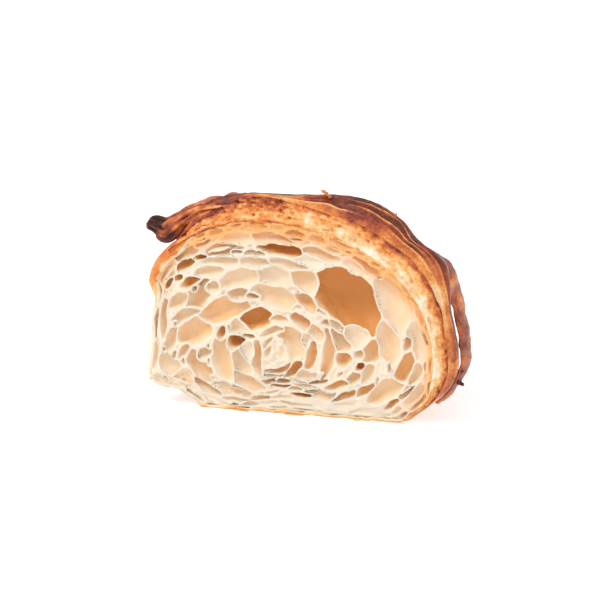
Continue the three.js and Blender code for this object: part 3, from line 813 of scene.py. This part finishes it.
def crumb_field(x, y, z, flat_depth):
    """Millimetres of dough at each lattice point, less than 0 in the air.

    Each cell measures distance in its own ellipsoid. Where the two nearest cells tie there is a wall, and
    past a cell's own reach there is dough. Rolled sheets run between the rows. The knife's cut, with grooves
    along the rim and a fuzzy heart, the outline and the back close the crumb. Also gives the painted shade of
    the nearest cell at each point.
    """
    wx = x + WANDER_X * soft_noise(81, 3.1, x, y, z, 2)
    lean = CELL_LEAN * (1.0 - np.exp(-np.maximum(y, 0.0) / LEAN_WITHIN))
    wz = z + WANDER_Z * soft_noise(82, 2.7, x, y, z, 2) - lean
    shape = wx.shape
    near, second = np.full(shape, 9.0, np.float32), np.full(shape, 9.0, np.float32)
    slope_near = [np.zeros(shape, np.float32) for _ in range(3)]
    slope_second = [np.zeros(shape, np.float32) for _ in range(3)]
    axis_x, axis_y, axis_z = x[:, 0, 0], y[0, :, 0], z[0, 0, :]
    in_open_cell = np.full(shape, 9.0, np.float32)
    painted_cell_shades = np.zeros(shape, np.float32)
    for number, (cx, cy, cz, a, c, b, tilt, bend, painted_cell_shade) in enumerate(crumb_cells()):
        cos, sin = math.cos(tilt), math.sin(tilt)
        span_x = 2.0 * math.hypot(a * cos, b * sin) + 1.5
        span_z = 2.0 * math.hypot(a * sin, b * cos) + 1.5
        ix = np.searchsorted(axis_x, (cx - span_x, cx + span_x))
        iy = np.searchsorted(axis_y, (cy - 2.0 * c, cy + 2.0 * c))
        iz = np.searchsorted(axis_z, (cz - span_z, cz + span_z))
        box = (slice(*ix), slice(*iy), slice(*iz))
        dx, dz = wx[box] - cx, wz[box] - cz
        dy = (y[:, box[1], :] - cy) + 0.0 * dx
        along = dx * cos + dz * sin
        across = dz * cos - dx * sin + 0.5 * bend * along**2
        reach_here = np.sqrt((along / a) ** 2 + (dy / c) ** 2 + (across / b) ** 2) + 1e-4
        g_along, g_across, g_y = along / a**2, across / b**2, dy / c**2
        slope = [(g_along * cos - g_across * sin) / reach_here, g_y / reach_here,
                 (g_along * sin + g_across * cos) / reach_here]
        if number < len(OPEN_CELLS):
            in_open_cell[box] = np.minimum(in_open_cell[box], reach_here)
        first, runner_up = near[box], second[box]
        better = reach_here < first
        between = (~better) & (reach_here < runner_up)
        second[box] = np.where(better, first, np.where(between, reach_here, runner_up))
        near[box] = np.where(better, reach_here, first)
        painted_cell_shades[box] = np.where(better, painted_cell_shade, painted_cell_shades[box])
        for i in range(3):
            own, other = slope_near[i][box], slope_second[i][box]
            slope_second[i][box] = np.where(better, own, np.where(between, slope[i], other))
            slope_near[i][box] = np.where(better, slope[i], own)
    apart = np.sqrt(sum((s - n) ** 2 for s, n in zip(slope_second, slope_near))) + 0.02
    steep = np.sqrt(sum(n**2 for n in slope_near)) + 0.02
    wall = mix(WALL_THIN, WALL_THICK, 0.5 + 0.5 * soft_noise(83, 6.0, x, y, z))
    air = smooth_least((second - near) / apart - wall / 2, (CELL_REACH - near) / steep, 0.5)
    sheet = rolled_sheet(wx, y, wz) + 3.0 * ease(1.45, 1.28, in_open_cell)
    air = smooth_least(air, sheet, 0.5)
    ring = flat_depth[:, None, :]
    grooves = soft_noise(89, 1.0, ring * 1.25 + 0.25 * wx, 0.16 * x, 0.16 * z, 2)
    grooves = grooves * (1.0 - ease(2.5, 8.0, ring))
    heart = 1.0 - ease(0.7 * ROLL_HEART, 1.3 * ROLL_HEART, np.hypot(x - ROLL_X, z - ROLL_Z))
    front = (0.40 + 0.30 * soft_noise(84, 5.0, x, 0.0 * y, z, 2) + 0.20 * soft_noise(88, 2.1, x, 0.0 * y, z)
             + 0.9 * heart * np.abs(soft_noise(90, 1.9, x, 0.0 * y, z, 3))
             + 0.5 * ease(0.3, 1.2, -air) + 0.8 * np.clip(grooves, 0.0, 1.0))
    inside = np.minimum(ring - CRUST_THICK + 0.15 - shoulder(x, z), z - 0.75)
    field = np.maximum(-air, MEMBRANE - inside)
    field = np.minimum(np.minimum(field, y - front), inside)
    return np.minimum(field, CRUMB_DEPTH - y), painted_cell_shades


def spread(start, allowed):
    """All lattice points that can be reached from the start through allowed neighbours."""
    kept, count = start, -1
    while kept.sum() != count:
        count = kept.sum()
        for _ in range(6):
            grown = kept.copy()
            grown[1:] |= kept[:-1]
            grown[:-1] |= kept[1:]
            grown[:, 1:] |= kept[:, :-1]
            grown[:, :-1] |= kept[:, 1:]
            grown[:, :, 1:] |= kept[:, :, :-1]
            grown[:, :, :-1] |= kept[:, :, 1:]
            kept = grown & allowed
    return kept


def keep_joined(field):
    """Turns crumbs that hang in the air into air, and bubbles that no air reaches into dough."""
    dough = field > 0
    start = np.zeros_like(dough)
    start[:, -3, :] = dough[:, -3, :]
    hanging = dough & ~spread(start, dough)
    open_air = np.zeros_like(dough)
    open_air[:, 0, :] = True
    sealed = ~dough & ~spread(open_air, ~dough)
    return np.where(hanging, -0.05, np.where(sealed, 0.05, field))


def surface_of(field):
    """The surface where a lattice of values crosses 0, as points in lattice steps and quads.

    The quads face the lesser side. Each lattice cube that the surface passes has one point, at the mean of
    the crossings on its edges. Each lattice edge that crosses 0 has one quad between the four cubes round it.
    """
    solid = field > 0
    cube_shape = tuple(n - 1 for n in field.shape)
    corner_sum = np.zeros(cube_shape, np.int8)
    for corner in range(8):
        window = tuple(slice((corner >> i) & 1, ((corner >> i) & 1) + cube_shape[i]) for i in range(3))
        corner_sum += solid[window]
    mixed = (corner_sum > 0) & (corner_sum < 8)
    label = np.full(cube_shape, -1, np.int64)
    label[mixed] = np.arange(mixed.sum())
    total = np.zeros((3,) + cube_shape, np.float32)
    hits = np.zeros(cube_shape, np.float32)
    quads = []
    for axis in range(3):
        other = [i for i in range(3) if i != axis]
        low = [slice(None)] * 3
        high = [slice(None)] * 3
        low[axis], high[axis] = slice(None, -1), slice(1, None)
        a, b = field[tuple(low)], field[tuple(high)]
        crossing = (a > 0) != (b > 0)
        share = np.where(crossing, a / np.where(crossing, a - b, 1.0), 0.0).astype(np.float32)
        for up in range(4):
            offset = [0, 0, 0]
            offset[other[0]], offset[other[1]] = up & 1, up >> 1
            window = tuple(slice(offset[i], offset[i] + cube_shape[i]) for i in range(3))
            hit = crossing[window]
            hits += hit
            for i in range(3):
                value = share[window] if i == axis else float(offset[i])
                total[i] += np.where(hit, value, 0.0)
        inner = [slice(1, -1)] * 3
        inner[axis] = slice(None)
        where = np.argwhere(crossing[tuple(inner)])
        start = where + np.array([0 if i == axis else 1 for i in range(3)])
        corners = []
        for du, dv in ((-1, -1), (0, -1), (0, 0), (-1, 0)):
            cube = start.copy()
            cube[:, other[0]] += du
            cube[:, other[1]] += dv
            corners.append(label[tuple(cube.T)])
        quad = np.stack(corners, axis=1)
        outward = solid[tuple(low)][tuple(start.T)] == (axis != 1)
        quads.append(np.where(outward[:, None], quad, quad[:, ::-1]))
    base = np.argwhere(mixed).astype(np.float32)
    points = base + (total[:, mixed] / hits[mixed]).T
    return points, np.concatenate(quads)


def enclosure(field, points):
    """Painted shade for crevices: the share of dough at seeded places in a half ball before each point."""
    rng = np.random.default_rng(SEED + 1)
    dough = (field > 0).astype(np.float32)
    for axis in range(3):
        dough = (np.roll(dough, 1, axis) + dough + np.roll(dough, -1, axis)) / 3.0
    total = 0.0
    for _ in range(ENCLOSURE_TRIES):
        way = rng.normal(size=3)
        way[1] = -abs(way[1])
        step = way / np.linalg.norm(way) * rng.uniform(2.5, 9.0)
        at = np.round(points + step).astype(int)
        at = tuple(np.clip(at[:, i], 0, field.shape[i] - 1) for i in range(3))
        total = total + dough[at]
    return total / ENCLOSURE_TRIES


def make_crumb():
    """The open crumb: cells in rolled layers, cut open by the knife.

    Its mesh is the surface of crumb_field, on a lattice that is coarser farther back. It shrinks and bends
    with the body, and is then thinned to CRUMB_TRIANGLES.
    """
    axis_x = np.arange(LINE_X.min() - 2, LINE_X.max() + 2, VOXEL)
    axis_z = np.arange(-1.0, LINE_Z.max() + 2, VOXEL)
    steps = np.concatenate([np.full(int(9 / VOXEL), VOXEL), np.linspace(VOXEL, 2 * VOXEL, 12)])
    axis_y = np.concatenate([[-1.2], -1.2 + np.cumsum(steps)])
    axis_y = axis_y[axis_y < CRUMB_DEPTH + 1.8]
    x, y, z = np.meshgrid(axis_x, axis_y, axis_z, indexing="ij", sparse=True)
    depth_2d = outline_depth(*np.meshgrid(axis_x, axis_z, indexing="ij"))
    field, painted_cell_shades = crumb_field(x, y, z, depth_2d)
    field = keep_joined(field)
    points, quads = surface_of(field)
    px = np.interp(points[:, 0], np.arange(len(axis_x)), axis_x)
    py = np.interp(points[:, 1], np.arange(len(axis_y)), axis_y)
    pz = np.interp(points[:, 2], np.arange(len(axis_z)), axis_z)
    at = tuple(np.clip(np.round(points[:, i]).astype(int), 0, field.shape[i] - 1) for i in range(3))
    low_left = ease(-18.0, -32.0, px) * (1.0 - ease(24.0, 36.0, pz))
    strength = mix(1.0, 0.30, 1.0 - ease(1.0, 9.0, pz)) * (1.0 - 0.9 * low_left)
    fades_over = mix(4.5, 7.5, ease(20.0, 36.0, pz))
    toast = (1.0 - np.clip(depth_2d[at[0], at[2]] / fades_over, 0.0, 1.0)) * strength
    layer = ROLL_LAYERS * np.hypot(px - ROLL_X, pz - ROLL_Z) / reach(np.arctan2(pz - ROLL_Z, px - ROLL_X))
    size = np.where(py > 0, body_size(np.maximum(py, 0.0)), 1.0)
    lean = -CRESCENT_BEND * (np.maximum(py, 0.0) / HALF_LENGTH) ** 2
    px = CORE_X + lean + (px - CORE_X) * size
    pz = np.maximum((CORE_Z + FLAT_BELOW) * size - FLAT_BELOW + (pz - CORE_Z) * size, 0.5)
    # How closed in each point is, which the material turns into painted shade.
    crevice_shade = enclosure(field, points)
    # depth_mm and the cells' values also drive painted shade in the material.
    piece = add_mesh("crumb", place(px, py, pz), (quads,), {
        "depth_mm": py, "toast": toast, "crevice_shade": crevice_shade, "layer": layer, "painted_cell_shades": painted_cell_shades[at]})
    fewer = piece.modifiers.new("fewer_triangles", "DECIMATE")
    fewer.ratio = min(1.0, CRUMB_TRIANGLES / (2.0 * len(quads)))
    return piece


# --- finishes ---------------------------------------------------------------------------------------
def give(tree, taker, inputs):
    """Sets a node's inputs to values, or links other nodes' sockets to them."""
    for key, value in inputs.items():
        if isinstance(value, bpy.types.NodeSocket):
            tree.links.new(value, taker.inputs[key])
        else:
            taker.inputs[key].default_value = value


def node(tree, kind, inputs=None, **settings):
    """A node of a kind, with values or other nodes' sockets given to its inputs."""
    made = tree.nodes.new(kind)
    for key, value in settings.items():
        setattr(made, key, value)
    give(tree, made, inputs or {})
    return made


def maths(tree, operation, first, second=0.0, clamp=False):
    """One sum on two values or sockets."""
    made = node(tree, "ShaderNodeMath", {0: first, 1: second}, operation=operation, use_clamp=clamp)
    return made.outputs[0]


def times(tree, first, second, clamp=False):
    """The product of two values or sockets."""
    return maths(tree, "MULTIPLY", first, second, clamp)


def off_middle(tree, value, middle, strength):
    """How far a value is from its middle, times a strength."""
    return times(tree, maths(tree, "SUBTRACT", value, middle), strength)


def added(tree, *parts):
    """All the parts added up."""
    so_far = parts[0]
    for part in parts[1:]:
        so_far = maths(tree, "ADD", so_far, part)
    return so_far


def ramp(tree, factor, stops):
    """Colour from a factor, by stops of a position and a colour each."""
    made = node(tree, "ShaderNodeValToRGB", {"Fac": factor})
    line = made.color_ramp
    while len(line.elements) < len(stops):
        line.elements.new(0.5)
    for element, (position, colour) in zip(line.elements, stops):
        element.position = position
        element.color = (*colour, 1.0)
    return made.outputs["Color"]


def noise(tree, vector, scale, detail, roughness):
    """Smooth random values from 0 to 1."""
    made = node(tree, "ShaderNodeTexNoise", {"Vector": vector, "Scale": scale, "Detail": detail,
                                             "Roughness": roughness})
    return made.outputs["Fac"]


def new_group(name, inputs, outputs):
    """A shader node group with float inputs and their usual values, and outputs and their kinds."""
    tree = bpy.data.node_groups.new(name, "ShaderNodeTree")
    for label, value in inputs:
        socket = tree.interface.new_socket(label, in_out="INPUT", socket_type="NodeSocketFloat")
        socket.default_value = value
    for label, kind in outputs:
        tree.interface.new_socket(label, in_out="OUTPUT", socket_type="NodeSocket" + kind)
    return tree, node(tree, "NodeGroupInput").outputs


# Colours from raw dough to burnt crust.
BAKE_COLOURS = (
    (0.00, (0.84, 0.74, 0.60)), (0.14, (0.76, 0.58, 0.37)), (0.32, (0.77, 0.41, 0.15)),
    (0.50, (0.64, 0.21, 0.055)), (0.66, (0.42, 0.100, 0.036)), (0.82, (0.20, 0.044, 0.026)),
    (1.00, (0.050, 0.022, 0.018)),
)
# Colours from the crumb's cut edges to the bottoms of its deepest cells; the peach and orange end is painted
# shade, with the dough's own tone.
CRUMB_COLOURS = (
    (0.00, (0.68, 0.60, 0.50)), (0.05, (0.72, 0.63, 0.51)), (0.13, (0.77, 0.65, 0.50)),
    (0.30, (0.79, 0.65, 0.49)), (0.52, (0.82, 0.60, 0.39)), (0.76, (0.84, 0.49, 0.22)),
    (1.00, (0.72, 0.36, 0.12)),
)
TOASTED_CRUMB = (0.78, 0.39, 0.14, 1.0)


def baked_dough_group():
    """Colour, roughness, coat and height of baked dough, from how far it is baked and how glossy it is."""
    tree, given = new_group(
        "baked_dough",
        (("Bake", 0.5), ("Gloss", 0.5), ("Mottle", 0.12), ("Grain", 0.16), ("Burnt Spots", 0.5)),
        (("Colour", "Color"), ("Roughness", "Float"), ("Coat", "Float"), ("Height", "Float")))
    place_here = node(tree, "ShaderNodeTexCoord").outputs["Object"]
    blotches = noise(tree, place_here, 260.0, 5.0, 0.6)
    fine = noise(tree, place_here, 1500.0, 4.0, 0.65)
    spots = noise(tree, place_here, 420.0, 2.0, 0.5)
    mottled = times(tree, off_middle(tree, blotches, 0.5, given["Mottle"]), 4.0)
    grain = off_middle(tree, fine, 0.5, given["Grain"])
    burnt = times(tree, maths(tree, "SUBTRACT", spots, 0.64, clamp=True), given["Burnt Spots"])
    burnt = times(tree, burnt, 3.5)
    baked = added(tree, added(tree, given["Bake"], mottled), added(tree, grain, burnt))
    colour = ramp(tree, baked, BAKE_COLOURS)
    smoothed = times(tree, given["Gloss"], -0.30)
    roughness = added(tree, 0.62, smoothed, off_middle(tree, fine, 0.5, 0.3))
    coat = times(tree, given["Gloss"], times(tree, blotches, 0.5))
    height = added(tree, times(tree, blotches, 0.7), times(tree, fine, 0.3))
    node(tree, "NodeGroupOutput", {"Colour": colour, "Roughness": roughness, "Coat": coat, "Height": height})
    return tree


def attribute(tree, name):
    """One of the mesh's own values."""
    return node(tree, "ShaderNodeAttribute", attribute_name=name, attribute_type="GEOMETRY").outputs["Fac"]


def new_material(name):
    """A material with its node tree and its shader."""
    material = bpy.data.materials.new(name)
    material.use_nodes = True
    tree = material.node_tree
    return material, tree, tree.nodes["Principled BSDF"]


def crust_material(name, group, mottle, grain, burnt_spots, bump):
    """Baked crust: the group's colours on a shader with an egg-wash coat."""
    material, tree, shader = new_material(name)
    dough = node(tree, "ShaderNodeGroup", {
        "Mottle": mottle, "Grain": grain, "Burnt Spots": burnt_spots,
        "Bake": attribute(tree, "bake"), "Gloss": attribute(tree, "gloss")}, node_tree=group).outputs
    bumped = node(tree, "ShaderNodeBump", {"Height": dough["Height"], "Distance": bump * MM, "Strength": 0.9})
    give(tree, shader, {
        "Base Color": dough["Colour"], "Roughness": dough["Roughness"], "Coat Weight": dough["Coat"],
        "Coat Roughness": 0.18, "Specular IOR Level": 0.1, "Normal": bumped.outputs["Normal"]})
    return material


def rolled_streaks_group():
    """Fine streaks that follow the rolled layers: noise stretched along them, from the layer's number."""
    tree, given = new_group("rolled_streaks", (("Layer", 0.0), ("Across", 11.0), ("Along", 190.0)),
                            (("Streaks", "Float"),))
    place_here = node(tree, "ShaderNodeTexCoord").outputs["Object"]
    here = node(tree, "ShaderNodeSeparateXYZ", {"Vector": place_here})
    across = times(tree, given["Layer"], given["Across"])
    along = [times(tree, here.outputs[axis], given["Along"]) for axis in ("X", "Z")]
    vector = node(tree, "ShaderNodeCombineXYZ", {"X": across, "Y": along[0], "Z": along[1]})
    node(tree, "NodeGroupOutput", {"Streaks": noise(tree, vector.outputs["Vector"], 1.0, 3.0, 0.6)})
    return tree


def crumb_material():
    """Soft cream crumb: white membranes, and painted shade that is peach in the shallow cells and orange in
    the deep ones.
    """
    material, tree, shader = new_material("soft_crumb")
    place_here = node(tree, "ShaderNodeTexCoord").outputs["Object"]
    fine = noise(tree, place_here, 1400.0, 4.0, 0.6)
    patches = noise(tree, place_here, 180.0, 3.0, 0.5)
    layer = attribute(tree, "layer")
    streaks = node(tree, "ShaderNodeGroup", {"Layer": layer}, node_tree=rolled_streaks_group())
    streaks = streaks.outputs["Streaks"]
    depth = attribute(tree, "depth_mm")
    # Painted shade: the colour moves towards orange in closed-in crevices.
    crevice_shade = off_middle(tree, attribute(tree, "crevice_shade"), 0.06, 1.02)
    # Painted shade that makes cells look deep, growing over the first millimetres behind the cut.
    painted_cell_shade = times(tree, attribute(tree, "painted_cell_shades"), maths(tree, "DIVIDE", depth, 2.2, clamp=True))
    # Depth behind the cut also darkens the colour as painted shade; the patches and streaks are the dough's
    # own tone.
    deep = added(tree, maths(tree, "DIVIDE", depth, 20.0), times(tree, painted_cell_shade, 0.48),
                 off_middle(tree, patches, 0.5, 0.14), off_middle(tree, streaks, 0.5, 0.22), crevice_shade)
    colour = ramp(tree, deep, CRUMB_COLOURS)
    toasted = added(tree, patches, off_middle(tree, streaks, 0.35, 0.9))
    toasted = times(tree, maths(tree, "POWER", attribute(tree, "toast"), 1.3),
                    times(tree, toasted, 2.9), clamp=True)
    mixed = node(tree, "ShaderNodeMix", {"Factor": toasted, "A": colour, "B": TOASTED_CRUMB},
                 data_type="RGBA")
    grain = added(tree, times(tree, fine, 0.6), streaks)
    bumped = node(tree, "ShaderNodeBump", {"Height": grain, "Distance": 0.20 * MM, "Strength": 0.8})
    give(tree, shader, {
        "Base Color": mixed.outputs["Result"], "Roughness": 0.6, "Specular IOR Level": 0.3,
        "Subsurface Weight": 0.45, "Subsurface Radius": (1.0, 0.78, 0.60), "Subsurface Scale": 1.8 * MM,
        "Normal": bumped.outputs["Normal"]})
    return material


# --- the studio -------------------------------------------------------------------------------------
VIEW_AZIMUTH, VIEW_ELEVATION = 20.0, 11.0
VIEW_WIDTH, VIEW_HEIGHT = 155.2, 30.5   # millimetres across the view, and the height of its middle
LENS, SENSOR = 240.0, 36.0
FLOOR_HALF = 40.0                       # metres, so that its edge is out of sight
# Softboxes: name, azimuth and elevation in degrees, distance, size and power.
LIGHTS = (
    ("key", -38, 48, 1.2, 0.5, 7.5), ("front", 12, 24, 1.6, 1.0, 3.2),
    ("fill", -80, 10, 1.4, 1.0, 2.0), ("back", 115, 38, 1.4, 0.8, 2.0),
)


def make_floor():
    """A plain white table, lit a little from within so that shadows on it stay pale."""
    mesh = bpy.data.meshes.new("floor")
    half = FLOOR_HALF
    corners = [(-half, -half, 0), (half, -half, 0), (half, half, 0), (-half, half, 0)]
    mesh.from_pydata(corners, [], [(0, 1, 2, 3)])
    floor = bpy.data.objects.new("floor", mesh)
    bpy.context.scene.collection.objects.link(floor)
    material, tree, shader = new_material("white_table")
    give(tree, shader, {
        "Base Color": (0.58, 0.58, 0.58, 1.0), "Emission Color": (1.0, 1.0, 1.0, 1.0),
        "Emission Strength": 0.64, "Roughness": 0.9, "Specular IOR Level": 0.1})
    mesh.materials.append(material)


def stand(name, data, aim, azimuth, elevation, distance):
    """A light or a camera that looks at a point from an azimuth and an elevation, in degrees."""
    a, e = math.radians(azimuth), math.radians(elevation)
    away = Vector((math.sin(a) * math.cos(e), -math.cos(a) * math.cos(e), math.sin(e)))
    made = bpy.data.objects.new(name, data)
    made.location = Vector(aim) + away * distance
    made.rotation_mode = "QUATERNION"
    made.rotation_quaternion = away.to_track_quat("Z", "Y")
    bpy.context.scene.collection.objects.link(made)
    return made


def make_lights():
    """Square softboxes that look at the croissant."""
    for name, azimuth, elevation, distance, size, power in LIGHTS:
        data = bpy.data.lights.new(name, "AREA")
        data.size = size
        data.energy = power
        stand(name, data, (0.0, 0.0, 0.03), azimuth, elevation, distance)


def make_world():
    """Even white light from all round."""
    world = bpy.data.worlds.new("white_studio")
    world.use_nodes = True
    background = world.node_tree.nodes["Background"]
    background.inputs["Color"].default_value = (1.0, 1.0, 1.0, 1.0)
    background.inputs["Strength"].default_value = 0.72
    bpy.context.scene.world = world
    bpy.context.scene.view_settings.view_transform = "Standard"


def make_camera():
    """A long lens, a little to the right of the cut face and a little above it."""
    data = bpy.data.cameras.new("camera")
    data.sensor_width = SENSOR
    data.lens = LENS
    data.clip_start, data.clip_end = 0.01, 100.0
    aim = (SHIFT_X * MM, CUT_Y * MM, VIEW_HEIGHT * MM)
    distance = LENS * (VIEW_WIDTH * MM) / SENSOR
    bpy.context.scene.camera = stand("camera", data, aim, VIEW_AZIMUTH, VIEW_ELEVATION, distance)


# --- everything put together ------------------------------------------------------------------------
def finish_piece(piece, material):
    """Gives a piece its material, sets what it rides on, and hides the frame's part that it stands in for."""
    piece.data.materials.append(material)
    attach(piece, "root")
    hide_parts(NODE)


def build():
    """The studio and every piece of the croissant."""
    make_camera()
    make_world()
    make_floor()
    make_lights()
    dough = baked_dough_group()
    glossy = crust_material("glossy_crust", dough, mottle=0.13, grain=0.16, burnt_spots=0.5, bump=0.30)
    torn = crust_material("outer_wrap_crust", dough, mottle=0.15, grain=0.42, burnt_spots=0.5, bump=0.35)
    burnt = crust_material("burnt_crust", dough, mottle=0.18, grain=0.30, burnt_spots=1.0, bump=0.45)
    finish_piece(make_crumb(), crumb_material())
    finish_piece(make_crust(), glossy)
    finish_piece(make_outer_wrap(), torn)
    finish_piece(make_wrap_tip(), burnt)
    finish_piece(make_lifted_skin(), torn)
    for flake in make_flakes():
        finish_piece(flake, glossy)


build()
